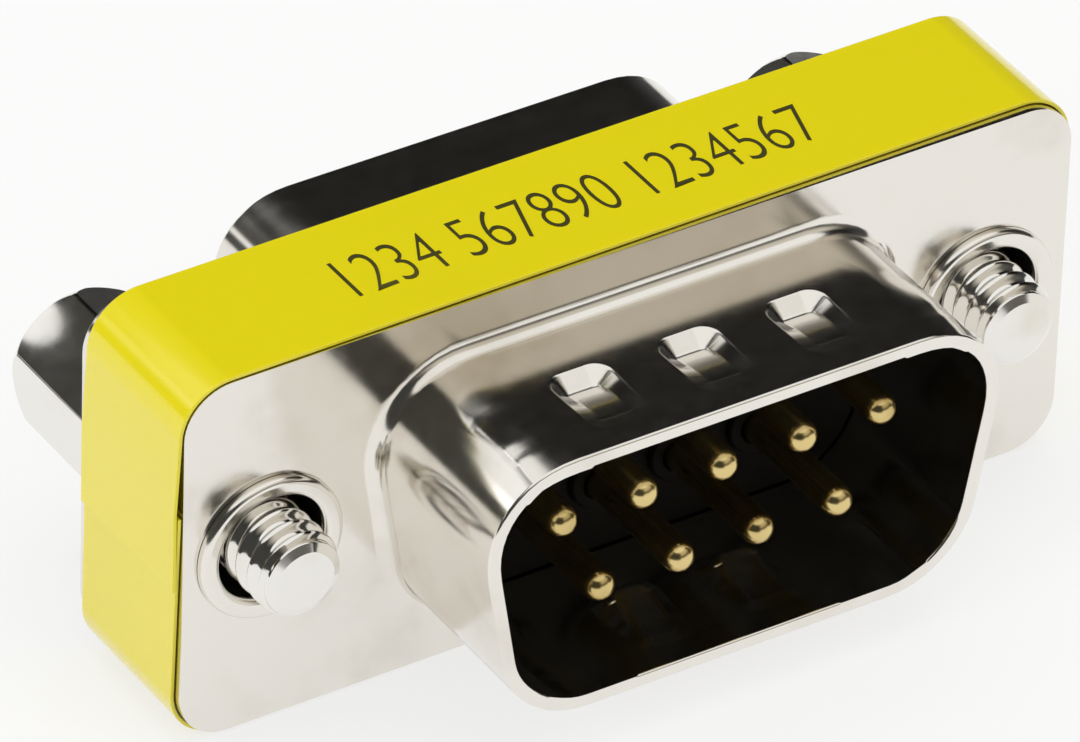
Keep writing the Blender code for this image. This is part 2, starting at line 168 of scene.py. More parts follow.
def tidy(piece):
    """Merges doubles and turns every face outwards."""
    editing(piece)
    bpy.ops.mesh.select_all(action="SELECT")
    bpy.ops.mesh.remove_doubles(threshold=0.0005)
    bpy.ops.mesh.normals_make_consistent(inside=False)
    resting()
    return piece


def facing_out(piece, outwards):
    """Turns an open sheet over unless, over its whole area, it faces the way that outwards gives."""
    if sum(face.normal.dot(outwards(face.center)) * face.area for face in piece.data.polygons) < 0:
        editing(piece)
        bpy.ops.mesh.select_all(action="SELECT")
        bpy.ops.mesh.flip_normals()
        resting()
    return piece


def modified(piece, kind, **settings):
    """Adds a modifier with these settings and applies it."""
    only(piece)
    modifier = piece.modifiers.new(kind.lower(), kind)
    for setting, value in settings.items():
        setattr(modifier, setting, value)
    bpy.ops.object.modifier_apply(modifier=modifier.name)
    return piece


def combined(piece, other, operation):
    """Boolean of two closed pieces; the second is used up."""
    modified(piece, "BOOLEAN", operation=operation, object=other, solver="EXACT")
    bpy.data.objects.remove(other, do_unlink=True)
    return piece


def softened(piece, width, segments=3, angle=35, crease=40):
    """Rounds the hard edges a little and shades the rest smooth."""
    modified(piece, "BEVEL", width=width, segments=segments, limit_method="ANGLE",
             angle_limit=math.radians(angle), miter_outer="MITER_ARC")
    return smoothed(piece, crease)


def is_flat(face):
    """True for a face much larger than each neighbour that bends away from it."""
    beside = [other for edge in face.edges if edge.smooth for other in edge.link_faces
              if other is not face and other.normal.dot(face.normal) < 0.99999]
    return all(face.calc_area() > 4 * other.calc_area() for other in beside)


def smoothed(piece, crease=40):
    """Smooth shading that still mirrors straight lines in the flat faces."""
    only(piece)
    bpy.ops.object.shade_smooth_by_angle(angle=math.radians(crease))
    modified(piece, "WEIGHTED_NORMAL", keep_sharp=True, weight=100)
    editing(piece)
    pick(piece, "FACE", is_flat)
    bpy.ops.mesh.set_normals_from_faces(keep_sharp=True)
    resting()
    return piece


def copied(piece, name, shift):
    twin = piece.copy()
    twin.data = piece.data.copy()
    bpy.context.scene.collection.objects.link(twin)
    twin.location = Vector(twin.location) + Vector(shift)
    return named(twin, name)


def home(piece, name, body, finish, slot, *nodes):
    """Sets a finished piece into the part's frame, in metres, on its body and in place of its solids."""
    only(piece)
    bpy.ops.object.transform_apply(location=True, rotation=True, scale=True)
    piece.scale = (0.001, 0.001, 0.001)
    piece.location = HOME
    bpy.ops.object.transform_apply(location=True, rotation=True, scale=True)
    named(piece, name)
    piece.data.materials.clear()
    piece.data.materials.append(finish)
    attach(piece, body)
    if nodes:
        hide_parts(*nodes)
    return piece


def arc(centre, radius, start, end, steps):
    """Points on an arc, angles in degrees."""
    points = []
    for step in range(steps + 1):
        angle = math.radians(start + (end - start) * step / steps)
        points.append((centre[0] + radius * math.cos(angle), centre[1] + radius * math.sin(angle)))
    return points


def drawn(points):
    """A chain of edges through the points, extruded from one vertex."""
    bpy.ops.mesh.primitive_plane_add(size=1)
    piece = bpy.context.object
    editing(piece)
    bpy.ops.mesh.select_all(action="SELECT")
    bpy.ops.mesh.merge(type="CENTER")
    bpy.ops.transform.translate(value=points[0])
    here = Vector(points[0])
    for point in points[1:]:
        bpy.ops.mesh.extrude_vertices_move(TRANSFORM_OT_translate={"value": Vector(point) - here})
        here = Vector(point)
    return piece


def turned(profile, steps=64):
    """A solid of revolution about the Y axis through (radius, y) points."""
    piece = drawn([(radius, y, 0.0) for radius, y in profile])
    bpy.ops.mesh.select_all(action="SELECT")
    bpy.ops.mesh.spin(steps=steps, angle=2 * math.pi, center=(0, 0, 0), axis=(0, 1, 0))
    resting()
    return tidy(piece)


def grown(size, offset):
    width, height, corner = size
    return (width + 2 * offset / math.cos(SIDE_LEAN), height + 2 * offset, corner + offset)


def d_face(size, segments=12):
    """A flat D facing -Y, wide side up, its corners rounded by bevels."""
    width, height, corner = size
    bpy.ops.mesh.primitive_plane_add(size=1, rotation=(math.pi / 2, 0, 0))
    piece = bpy.context.object
    bpy.ops.object.transform_apply(location=False, rotation=True, scale=False)
    editing(piece)
    bpy.ops.transform.resize(value=(width, 1, height))
    lean = height * math.tan(SIDE_LEAN)
    for side in (1, -1):
        pick(piece, "VERT", lambda v: v.co.z * side > 0.1)
        bpy.ops.transform.resize(value=((width + side * lean) / width, 1, 1))
    for side, angle in ((1, 40), (-1, 50)):
        pick(piece, "VERT", lambda v: abs(v.co.z - side * height / 2) < 0.01)
        bpy.ops.mesh.bevel(offset=corner / math.tan(math.radians(angle)), segments=segments,
                           profile=0.5, affect="VERTICES", clamp_overlap=False)
    resting()
    return piece


def flange_outline(height):
    """Edges of the flange's outline and of the two sleeve holes, all in the plane y = 0."""
    bpy.ops.mesh.primitive_plane_add(size=1, rotation=(math.pi / 2, 0, 0))
    outline = bpy.context.object
    bpy.ops.object.transform_apply(location=False, rotation=True, scale=False)
    editing(outline)
    bpy.ops.transform.resize(value=(FLANGE_LENGTH, 1, height))
    bpy.ops.mesh.select_all(action="SELECT")
    bpy.ops.mesh.bevel(offset=FLANGE_CORNER, segments=12, profile=0.5, affect="VERTICES")
    bpy.ops.mesh.select_all(action="SELECT")
    bpy.ops.mesh.delete(type="ONLY_FACE")
    resting()
    holes = []
    for side in (-1, 1):
        bpy.ops.mesh.primitive_circle_add(vertices=64, radius=SLEEVE_HOLE_RADIUS, fill_type="NOTHING",
                                          location=(side * SCREW_X, 0, 0), rotation=(math.pi / 2, 0, 0))
        holes.append(bpy.context.object)
        bpy.ops.object.transform_apply(location=True, rotation=True, scale=False)
    return joined(outline, *holes)


def shell_skin(outer, reach, height):
    """The outer skin of one stamped shell: flange in the plane y = 0 and a tube towards -Y."""
    root = 1.0
    piece = d_face(grown(outer, root))
    editing(piece)
    bpy.ops.mesh.select_all(action="SELECT")
    bpy.ops.mesh.inset(thickness=root, depth=0, use_even_offset=True)
    bpy.ops.mesh.extrude_region_move(TRANSFORM_OT_translate={"value": (0, -reach, 0)})
    bpy.ops.mesh.delete(type="ONLY_FACE")
    pick(piece, "EDGE", lambda e: all(abs(v.co.y) < 1e-4 for v in e.verts)
         and any(abs(f.normal.y) < 0.5 for f in e.link_faces))
    bpy.ops.mesh.bevel(offset=BEND_RADIUS, segments=8, profile=0.5, affect="EDGES")
    resting()
    joined(piece, flange_outline(height))
    editing(piece)
    pick(piece, "EDGE", lambda e: all(abs(v.co.y) < 1e-4 for v in e.verts) and len(e.link_faces) < 2)
    bpy.ops.mesh.fill(use_beauty=True)
    bpy.ops.mesh.select_all(action="SELECT")
    bpy.ops.mesh.normals_make_consistent(inside=False)
    resting()
    return facing_out(piece, lambda centre: Vector((0, -1, 0)))


def wall_drop(share):
    """How far down a pocket's wall is at this share of its width: straight, with rounded ends."""
    if share < POCKET_ROUND:
        return share ** 2 / (2 * POCKET_ROUND * (1 - POCKET_ROUND))
    if share > 1 - POCKET_ROUND:
        return 1 - wall_drop(1 - share)
    return (share - POCKET_ROUND / 2) / (1 - POCKET_ROUND)


def press_pockets(piece, top, count):
    """Presses a row of pockets into one long side of the tube; top is that side's height."""
    side = math.copysign(1, top)
    middles = [(number - (count - 1) / 2) * POCKET_PITCH for number in range(count)]
    half_patch = POCKET_WIDTH / 2 + POCKET_BORDER
    centre = -POCKET_START - POCKET_LENGTH / 2
    half_length = POCKET_LENGTH / 2 + POCKET_BORDER
    depth = (POCKET_BACK_DEPTH + POCKET_FRONT_DEPTH) / 2
    editing(piece)

    def on_side(face):
        spot = face.calc_center_median()
        return abs(spot.z - top) < 0.01 and spot.y < -BEND_RADIUS and face.normal.z * side > 0.99

    def within(face, across, along):
        spot = face.calc_center_median()
        aside = min(abs(spot.x - x) for x in middles)
        return on_side(face) and abs(spot.y - centre) < along and aside < across

    # A patch of plain sheet round each pocket
    cuts = [((x + edge * half_patch, 0, 0), (1, 0, 0)) for x in middles for edge in (-1, 1)]
    cuts += [((0, centre + edge * half_length, 0), (0, 1, 0)) for edge in (-1, 1)]
    for place, direction in cuts:
        pick(piece, "FACE", on_side)
        bpy.ops.mesh.bisect(plane_co=place, plane_no=direction, threshold=1e-5)

    # The outline with round corners, then ring inside ring down the walls; each ring tips a little
    # more than the last, so that the floor rises towards the mouth
    pick(piece, "FACE", lambda f: within(f, half_patch, half_length))
    bpy.ops.mesh.inset(thickness=POCKET_BORDER, depth=0, use_individual=True)
    bpy.ops.mesh.bevel(offset=POCKET_CORNER, segments=6, profile=0.5, affect="VERTICES")
    pick(piece, "FACE", lambda f: within(f, 0.05, 0.05))
    slope = math.atan((POCKET_BACK_DEPTH - POCKET_FRONT_DEPTH) / (POCKET_LENGTH - 2 * POCKET_WALL))
    last = 0.0
    for step in (1, 2, 3, -3, -2, -1, 0):
        share = step * POCKET_ROUND / 3 + (0 if step > 0 else 1)
        drop, more = wall_drop(share), wall_drop(share) - wall_drop(last)
        bpy.ops.mesh.inset(thickness=(share - last) * POCKET_WALL, depth=-more * depth, use_individual=True)
        bpy.ops.transform.rotate(value=side * more * slope, orient_axis="X",
                                 center_override=(0, centre, top - side * drop * depth))
        last = share

    # The long walls twist, so they are cut into short strips, and each strip is then lifted a little so
    # that the floor curves: steep at the back, almost level at the mouth
    def in_pocket(corner):
        return corner.co.y < -BEND_RADIUS and 0.001 < (top - corner.co.z) * side < 2 * depth

    strips = [number * POCKET_STRIP for number in range(-6, 7)]
    for strip in strips:
        pick(piece, "FACE", lambda f: any(in_pocket(v) for v in f.verts)
             and all((top - v.co.z) * side < 2 * depth for v in f.verts))
        bpy.ops.mesh.bisect(plane_co=(0, centre + strip, 0), plane_no=(0, 1, 0), threshold=1e-5)
    floor_length = POCKET_LENGTH - 2 * POCKET_WALL
    for strip in strips:
        share = min(max(0.5 - strip / floor_length, 0.0), 1.0)
        straight = POCKET_BACK_DEPTH + share * (POCKET_FRONT_DEPTH - POCKET_BACK_DEPTH)
        curved = POCKET_BACK_DEPTH - POCKET_CURVE[0] * share + POCKET_CURVE[1] * share ** 2
        pick(piece, "VERT", lambda v: in_pocket(v)
             and -0.5 <= (v.co.y - centre - strip) / POCKET_STRIP < 0.5)
        bpy.ops.transform.resize(value=(1, 1, curved / straight), center_override=(0, centre, top))
    resting()


def sheet_metal(piece, reach):
    """Gives a skin the sheet's thickness, a rolled mouth and softly broken edges."""
    modified(piece, "SOLIDIFY", thickness=SHEET, offset=-1.0, use_even_offset=True)
    editing(piece)
    pick(piece, "EDGE", lambda e: all(abs(v.co.y + reach) < 1e-3 for v in e.verts)
         and len({round(f.normal.y) for f in e.link_faces}) > 1)
    bpy.ops.mesh.bevel(offset=0.10, segments=4, profile=0.5, affect="EDGES")
    resting()
    return softened(piece, 0.07)


plug_outer = grown(PLUG_INNER, SHEET)
plug_shell = shell_skin(plug_outer, PLUG_REACH, FLANGE_HEIGHT)
press_pockets(plug_shell, plug_outer[1] / 2, 3)
press_pockets(plug_shell, -plug_outer[1] / 2, 2)
sheet_metal(plug_shell, PLUG_REACH)

socket_shell = sheet_metal(shell_skin(SOCKET_OUTER, SOCKET_REACH, REAR_FLANGE_HEIGHT), SOCKET_REACH)
socket_shell.rotation_euler = (0, 0, math.pi)
socket_shell.location = (0, BODY_DEPTH, 0)


def block(size, front, back):
    """A D-shaped block between two depths."""
    piece = d_face(size)
    editing(piece)
    bpy.ops.mesh.select_all(action="SELECT")
    bpy.ops.transform.translate(value=(0, front, 0))
    bpy.ops.mesh.extrude_region_move(TRANSFORM_OT_translate={"value": (0, back - front, 0)})
    resting()
    return tidy(piece)


def contact_places():
    places = []
    for count, z in ((5, ROW_SPACING / 2), (4, -ROW_SPACING / 2)):
        places += [((number - (count - 1) / 2) * PIN_PITCH, 0.0, z) for number in range(count)]
    return places


def at_contacts(piece):
    """Copies of a piece at all nine contacts, the first one moved to the first place."""
    rows = [copied(piece, "%s_%d" % (piece.name, number), place)
            for number, place in enumerate(contact_places(), start=1)]
    bpy.data.objects.remove(piece, do_unlink=True)
    return rows


plug_insulator = block(grown(PLUG_INNER, -SHELL_FIT), PLUG_FACE, ROOT_FRONT)
root_block = block(grown(PLUG_INNER, SHEET + BEND_RADIUS + ROOT_RIM), ROOT_FRONT, ROOT_SPLIT[0])
plug_insulator = combined(plug_insulator, root_block, "UNION")
boss_outside = [(0.0, 0.10), (0.98, 0.10), (0.98, -0.42)] + arc((0.86, -0.50), 0.10, 0, -90, 4)
boss_mouth = [(0.62, -0.60), (PIN_HOLE_RADIUS, -0.53), (PIN_HOLE_RADIUS, -0.45), (0.0, -0.45)]
boss = named(turned(boss_outside + boss_mouth, 48), "boss")
for piece in at_contacts(boss):
    plug_insulator = combined(plug_insulator, piece, "UNION")
hole_outline = [(0.0, 3.0), (PIN_HOLE_RADIUS, 3.0), (PIN_HOLE_RADIUS, -1.0), (0.0, -1.0)]
hole = named(turned(hole_outline, 48), "pin_hole")
for piece in at_contacts(hole):
    plug_insulator = combined(plug_insulator, piece, "DIFFERENCE")
softened(plug_insulator, 0.06, 2)

socket_insulator = block(grown(SOCKET_OUTER, -SHEET - SHELL_FIT), ROOT_BACK, SOCKET_FACE)
root_block = block(grown(SOCKET_OUTER, BEND_RADIUS + ROOT_RIM), ROOT_SPLIT[1], ROOT_BACK)
socket_insulator = combined(socket_insulator, root_block, "UNION")
mouth = named(turned([(0.0, 2.0), (0.82, 2.0), (0.82, 9.90), (0.62, 9.90), (0.62, 10.13), (0.84, 10.36),
                      (0.84, 11.0), (0.0, 11.0)], 48), "mouth")
for piece in at_contacts(mouth):
    socket_insulator = combined(socket_insulator, piece, "DIFFERENCE")
softened(socket_insulator, 0.05, 2)

nose = arc((0.0, -PIN_REACH + PIN_RADIUS), PIN_RADIUS, -90, 0, 12)
pin = named(turned([(0.0, -PIN_REACH)] + nose[1:] + [(PIN_RADIUS, 1.34),
                   (0.85, 1.34), (0.85, 2.88), (0.40, 2.88), (0.40, 4.38), (0.0, 4.38)], 40), "pin")
pins = at_contacts(smoothed(pin))
socket = named(turned([(0.0, 5.0), (0.55, 5.26), (0.55, 9.62), (0.60, 9.86), (0.70, 9.86), (0.78, 9.76),
                       (0.78, 2.92), (0.44, 2.92), (0.44, 4.57), (0.0, 4.57)], 40), "socket")
sockets = at_contacts(smoothed(socket))

# The sleeve is rolled over the front flange, and behind the rear one it is turned in to a narrower lip
front_roll = [(SLEEVE_BORE_RADIUS, -0.05)] + arc((SLEEVE_BORE_RADIUS + 0.27, -0.05), 0.27, 180, 262, 6)
front_roll += arc((SLEEVE_RIM_RADIUS - 0.21, -0.11), 0.21, -90, 0, 8)
tube = [(SLEEVE_RIM_RADIUS, -0.02), (SLEEVE_TUBE_RADIUS, -0.02),
        (SLEEVE_TUBE_RADIUS, BODY_DEPTH + 0.02), (SLEEVE_RIM_RADIUS, BODY_DEPTH + 0.02)]
rear_roll = arc((SLEEVE_RIM_RADIUS - 0.17, BODY_DEPTH + 0.15), 0.17, 0, 90, 5)
lip = [(SLEEVE_LIP_RADIUS + 0.13, BODY_DEPTH + 0.32), (SLEEVE_LIP_RADIUS, BODY_DEPTH + 0.19),
       (SLEEVE_LIP_RADIUS, SLEEVE_LIP_START), (SLEEVE_BORE_RADIUS, SLEEVE_LIP_START),
       (SLEEVE_BORE_RADIUS, -0.05)]
sleeve = smoothed(turned(front_roll + tube + rear_roll + lip, 96), 50)


def threaded(crest, root, start, end):
    """A helical thread along Y between two flat ends, its crests and its roots rounded."""
    swing = (crest - root) / 2
    wave = [2 * math.pi * step / 12 for step in range(13)]
    piece = drawn([(root + swing * (1 - math.cos(turn)), THREAD_PITCH * turn / (2 * math.pi), 0)
                   for turn in wave])
    resting()
    turns = math.ceil((end - start) / THREAD_PITCH) + 3
    modified(piece, "SCREW", axis="Y", angle=2 * math.pi, screw_offset=THREAD_PITCH, iterations=turns,
             steps=48, render_steps=48, use_merge_vertices=True, merge_threshold=0.0005)
    tidy(piece)
    editing(piece)
    bpy.ops.mesh.select_all(action="SELECT")
    bpy.ops.transform.translate(value=(0, start - 1.5 * THREAD_PITCH, 0))
    for place, direction in ((start, -1), (end, 1)):
        bpy.ops.mesh.select_all(action="SELECT")
        bpy.ops.mesh.bisect(plane_co=(0, place, 0), plane_no=(0, direction, 0), use_fill=True,
                            clear_outer=True, threshold=1e-5)
    resting()
    return tidy(piece)


def jackscrew():
    """One turned piece: threaded tip, shank, neck and a hexagonal head tapped from behind."""
    shank = threaded(SCREW_RADIUS, 1.16, TIP, 2.60)
    tip = turned([(0.0, TIP), (0.95, TIP), (1.00, TIP + 0.03), (1.45, TIP + 0.42), (1.45, 3.0),
                  (0.0, 3.0)], 96)
    shank = combined(shank, tip, "INTERSECT")
    lead_in = [(0.0, TIP - 0.01), (0.94, TIP - 0.01), (1.00, TIP + 0.02), (1.24, TIP + 0.16),
               (1.26, TIP + 0.20), (1.26, TIP + 0.50), (1.10, TIP + 0.80), (1.10, 2.5)]
    plain = [(SCREW_RADIUS, 2.5), (SCREW_RADIUS, NECK_START)]
    neck = [(NECK_RADIUS, NECK_START), (NECK_RADIUS, HEAD_FRONT + 0.10), (0.0, HEAD_FRONT + 0.10)]
    core = turned(lead_in + plain + neck, 96)
    shank = combined(core, shank, "UNION")
    middle = (HEAD_FRONT + HEAD_BACK) / 2
    bpy.ops.mesh.primitive_cylinder_add(vertices=6, radius=HEAD_ACROSS_FLATS / math.sqrt(3),
                                        depth=HEAD_BACK - HEAD_FRONT, location=(0, middle, 0),
                                        rotation=(math.pi / 2, 0, 0))
    head = bpy.context.object
    bpy.ops.object.transform_apply(location=True, rotation=True, scale=False)
    corner = max(head.data.vertices, key=lambda v: v.co.z)
    editing(head)
    bpy.ops.mesh.select_all(action="SELECT")
    lean = math.atan2(corner.co.x, corner.co.z)
    bpy.ops.transform.rotate(value=HEAD_TURN + lean, orient_axis="Y", center_override=(0, 0, 0))
    pick(head, "EDGE", lambda e: abs(e.verts[0].co.y - e.verts[1].co.y) > 1)
    bpy.ops.mesh.bevel(offset=0.09, segments=4, profile=0.5, affect="EDGES")
    resting()
    dome = turned([(0.0, HEAD_FRONT - 0.02), (2.06, HEAD_FRONT - 0.02), (2.60, HEAD_FRONT + 0.22),
                   (2.60, HEAD_BACK - 0.82), (2.46, HEAD_BACK - 0.52), (2.29, HEAD_BACK - 0.27),
                   (2.12, HEAD_BACK - 0.11), (1.96, HEAD_BACK - 0.02), (1.86, HEAD_BACK),
                   (1.86, HEAD_BACK + 0.20), (0.0, HEAD_BACK + 0.20)], 96)
    head = combined(head, dome, "INTERSECT")
    bore = threaded(1.38, 1.12, HEAD_BACK - 3.80, HEAD_BACK + 0.60)
    head = combined(head, bore, "DIFFERENCE")
    sink = turned([(0.0, HEAD_BACK - 0.40), (1.12, HEAD_BACK - 0.40), (1.47, HEAD_BACK),
                   (1.47, HEAD_BACK + 0.30), (0.0, HEAD_BACK + 0.30)], 96)
    head = combined(head, sink, "DIFFERENCE")
    shank = combined(shank, head, "UNION")
    return smoothed(shank, 30)


screw = jackscrew()



def label_wrap():
    """One strip round the body from the left end and back over its own start, skewed where it ends."""
    corner = FLANGE_CORNER + LABEL_GAP
    x_end = FLANGE_LENGTH / 2 + LABEL_GAP
    z_end = FLANGE_HEIGHT / 2 + LABEL_GAP
    x, z = x_end - corner, z_end - corner
    chain = [(-x_end, LABEL_START)]
    for centre, turn in (((-x, -z), 180), ((x, -z), 270), ((x, z), 0), ((-x, z), 90)):
        chain += arc(centre, corner, turn, turn + 90, 14)
    chain += [(-x_end - LABEL_LAP, LABEL_LAP_START), (-x_end - LABEL_LAP, LABEL_LAP_END)]
    true_corners = 45
    fronts = [LABEL_FRONT_SKEWED] + [LABEL_FRONT_TRUE] * true_corners
    fronts += [LABEL_FRONT_SKEWED] * (len(chain) - len(fronts))
    strip = drawn([(x, y, z) for (x, z), y in zip(chain, fronts)])
    bpy.ops.mesh.select_all(action="SELECT")
    width = LABEL_BACK - LABEL_FRONT_SKEWED
    bpy.ops.mesh.extrude_region_move(TRANSFORM_OT_translate={"value": (0, width, 0)})
    pick(strip, "VERT", lambda v: abs(v.co.y - LABEL_BACK) < LABEL_SKEW)
    bpy.ops.transform.translate(value=(0, LABEL_SKEW, 0))
    resting()
    facing_out(strip, lambda centre: Vector((centre.x, 0, centre.z)))
    modified(strip, "SOLIDIFY", thickness=LABEL_THICKNESS, offset=1.0, use_even_offset=True)
    return softened(strip, 0.03, 2, angle=60)


label = label_wrap()

bpy.ops.object.text_add(location=(0, 0, 0))
digits = bpy.context.object
digits.data.body = "1234 567890 1234567"
digits.data.size = PRINT_HEIGHT
digits.data.align_x = "CENTER"
digits.data.extrude = 0.006
digits.data.offset = -0.045
digits.data.resolution_u = 6
bpy.ops.object.convert(target="MESH")
digits = bpy.context.object
digits.scale = (PRINT_LENGTH / digits.dimensions.x, 1, 1)
bpy.ops.object.transform_apply(location=False, rotation=False, scale=True)
digits.rotation_euler = (0, 0, math.radians(0.6))
digits.location = (-0.55, 1.68, FLANGE_HEIGHT / 2 + LABEL_GAP + LABEL_THICKNESS + 0.005)


def add(tree, kind, values=None, **settings):
    """A new node with its settings and the values of its unlinked sockets."""
    made = tree.nodes.new(kind)
    for setting, value in settings.items():
        setattr(made, setting, value)
    for socket, value in (values or {}).items():
        made.inputs[socket].default_value = value
    return made


def cloud(tree, place, scale, detail=2.0):
    made = add(tree, "ShaderNodeTexNoise", {"Scale": scale, "Detail": detail})
    tree.links.new(place, made.inputs["Vector"])
    return made.outputs["Fac"]


def ranged(tree, value, start, end, low, high, smooth=False):
    """Maps start..end to low..high, clamped."""
    made = add(tree, "ShaderNodeMapRange", {1: start, 2: end, 3: low, 4: high})
    made.interpolation_type = "SMOOTHSTEP" if smooth else "LINEAR"
    tree.links.new(value, made.inputs[0])
    return made.outputs[0]


def worked(tree, kind, first, second):
    """One sum on two values, each a socket or a number."""
    made = add(tree, "ShaderNodeMath", operation=kind)
    for socket, value in enumerate((first, second)):
        if isinstance(value, (int, float)):
            made.inputs[socket].default_value = value
        else:
            tree.links.new(value, made.inputs[socket])
    return made.outputs[0]


def blend(tree, share, first, second):
    """Mixes two colours; each is a socket or a plain colour."""
    made = add(tree, "ShaderNodeMix", data_type="RGBA")
    for socket, value in ((0, share), (6, first), (7, second)):
        if isinstance(value, (int, float, tuple)):
            made.inputs[socket].default_value = value
        else:
            tree.links.new(value, made.inputs[socket])
    return made.outputs[2]


def surface_group(name, coarse, fine, wave, depth):
    """Colour clouds, uneven gloss and a wavy surface, at the scales of one family of finishes."""
    tree = bpy.data.node_groups.new(name, "ShaderNodeTree")
    for socket, kind in (("Colour", "NodeSocketColor"), ("Stain", "NodeSocketColor"),
                         ("Roughness", "NodeSocketFloat"), ("Waviness", "NodeSocketFloat")):
        tree.interface.new_socket(socket, in_out="INPUT", socket_type=kind)
    for socket, kind in (("Colour", "NodeSocketColor"), ("Roughness", "NodeSocketFloat"),
                         ("Normal", "NodeSocketVector")):
        tree.interface.new_socket(socket, in_out="OUTPUT", socket_type=kind)
    entry, leave = tree.nodes.new("NodeGroupInput"), tree.nodes.new("NodeGroupOutput")
    place = add(tree, "ShaderNodeTexCoord").outputs["Object"]
    stain = ranged(tree, cloud(tree, place, coarse, 4), 0.48, 0.72, 0.0, 1.0, True)
    colour = blend(tree, stain, entry.outputs["Colour"], entry.outputs["Stain"])
    tree.links.new(colour, leave.inputs["Colour"])
    gloss = ranged(tree, cloud(tree, place, fine, 3), 0.35, 0.70, -0.012, 0.018)
    tree.links.new(worked(tree, "ADD", entry.outputs["Roughness"], gloss), leave.inputs["Roughness"])
    ripple = worked(tree, "MULTIPLY", cloud(tree, place, fine, 2), 0.16)
    height = worked(tree, "ADD", cloud(tree, place, wave, 1), ripple)
    bump = add(tree, "ShaderNodeBump", {"Distance": depth})
    tree.links.new(entry.outputs["Waviness"], bump.inputs["Strength"])
    tree.links.new(height, bump.inputs["Height"])
    tree.links.new(bump.outputs["Normal"], leave.inputs["Normal"])
    return tree


plated_surface = surface_group("plated_surface", 260, 1900, 620, 0.00006)
moulded_surface = surface_group("moulded_surface", 500, 9000, 3500, 0.00003)
film_surface = surface_group("film_surface", 120, 1400, 300, 0.00004)


def finish(name, surface, colour, stain, roughness, waviness, metallic=0.0, coat=0.0, specular=0.5):
    """One finish: its colours and gloss, made uneven by a shared surface."""
    made = bpy.data.materials.new(name)
    made.use_nodes = True
    tree = made.node_tree
    shader = tree.nodes["Principled BSDF"]
    uneven = add(tree, "ShaderNodeGroup", node_tree=surface)
    uneven.inputs["Colour"].default_value = (*colour, 1)
    uneven.inputs["Stain"].default_value = (*stain, 1)
    uneven.inputs["Roughness"].default_value = roughness
    uneven.inputs["Waviness"].default_value = waviness
    shader.inputs["Metallic"].default_value = metallic
    shader.inputs["Coat Weight"].default_value = coat
    shader.inputs["Coat Roughness"].default_value = 0.12
    shader.inputs["Specular IOR Level"].default_value = specular
    tree.links.new(uneven.outputs["Colour"], shader.inputs["Base Color"])
    tree.links.new(uneven.outputs["Roughness"], shader.inputs["Roughness"])
    tree.links.new(uneven.outputs["Normal"], shader.inputs["Normal"])
    return made


nickel = finish("nickel_plate", plated_surface, (0.84, 0.81, 0.755), (0.76, 0.72, 0.65),
                roughness=0.15, waviness=0.018, metallic=1)
bright = finish("bright_nickel", plated_surface, (0.85, 0.83, 0.79), (0.76, 0.73, 0.65),
                roughness=0.10, waviness=0.04, metallic=1)
gold = finish("gold_plate", plated_surface, (0.74, 0.58, 0.26), (0.50, 0.37, 0.13),
              roughness=0.20, waviness=0.20, metallic=1)
black = finish("black_moulding", moulded_surface, (0.0040, 0.0034, 0.0028), (0.0065, 0.0058, 0.0048),
               roughness=0.55, waviness=0.3, specular=0.12)
yellow = finish("yellow_film", film_surface, (0.745, 0.640, 0.0012), (0.730, 0.625, 0.001),
                roughness=0.20, waviness=0.004, coat=0.6)
ink = finish("black_print", film_surface, (0.040, 0.036, 0.002), (0.085, 0.075, 0.003),
             roughness=0.42, waviness=0.2)
pale = finish("pale_floor", film_surface, (0.90, 0.90, 0.90), (0.885, 0.885, 0.885),
              roughness=0.75, waviness=0.0, specular=0.1)

# Part of the floor's own white shows directly, more of it to polished metal than to the eye
tree = pale.node_tree
path = add(tree, "ShaderNodeLightPath")
share = worked(tree, "ADD", worked(tree, "MULTIPLY", path.outputs["Is Glossy Ray"], 0.78),
             worked(tree, "MULTIPLY", path.outputs["Is Camera Ray"], 0.72))
white = add(tree, "ShaderNodeEmission", {"Color": (0.97, 0.97, 0.965, 1), "Strength": 1.0})
mix = add(tree, "ShaderNodeMixShader")
tree.links.new(share, mix.inputs[0])
tree.links.new(tree.nodes["Principled BSDF"].outputs[0], mix.inputs[1])
tree.links.new(white.outputs[0], mix.inputs[2])
tree.links.new(mix.outputs[0], tree.nodes["Material Output"].inputs["Surface"])

body = "adapter_body"
home(plug_shell, "plug_shell_sheet", body, nickel, "plug_shell", "plug_shell")
home(socket_shell, "socket_shell_sheet", body, nickel, "socket_shell", "socket_shell")
home(plug_insulator, "plug_moulding", body, black, "plug_insulator", "plug_insulator")
home(socket_insulator, "socket_moulding", body, black, "socket_insulator", "socket_insulator")
for number, piece in enumerate(pins, start=1):
    home(piece, "pin_turned_%d" % number, body, gold, "pin", "pin_%d" % number)
for number, piece in enumerate(sockets, start=1):
    home(piece, "socket_barrel_%d" % number, body, gold, "socket_contact", "socket_%d" % number)
for side, x in (("left", -SCREW_X), ("right", SCREW_X)):
    piece = copied(sleeve, "sleeve", (x, 0, 0))
    home(piece, "rolled_sleeve_" + side, body, nickel, "sleeve", "sleeve_" + side)
    piece = copied(screw, "screw", (x, 0, 0))
    home(piece, "threaded_jackscrew_" + side, "jackscrew_%s_body" % side, bright, "jackscrew",
         "jackscrew_" + side)
bpy.data.objects.remove(sleeve, do_unlink=True)
bpy.data.objects.remove(screw, do_unlink=True)
home(label, "label_strip", body, yellow, "label", "label")
home(digits, "label_print", body, ink, "label")
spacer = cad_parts["spacer"]
spacer.data.materials.clear()
spacer.data.materials.append(black)

bpy.ops.mesh.primitive_plane_add(size=6)
floor = bpy.context.object
floor.name = "floor"
floor.data.materials.append(pale)


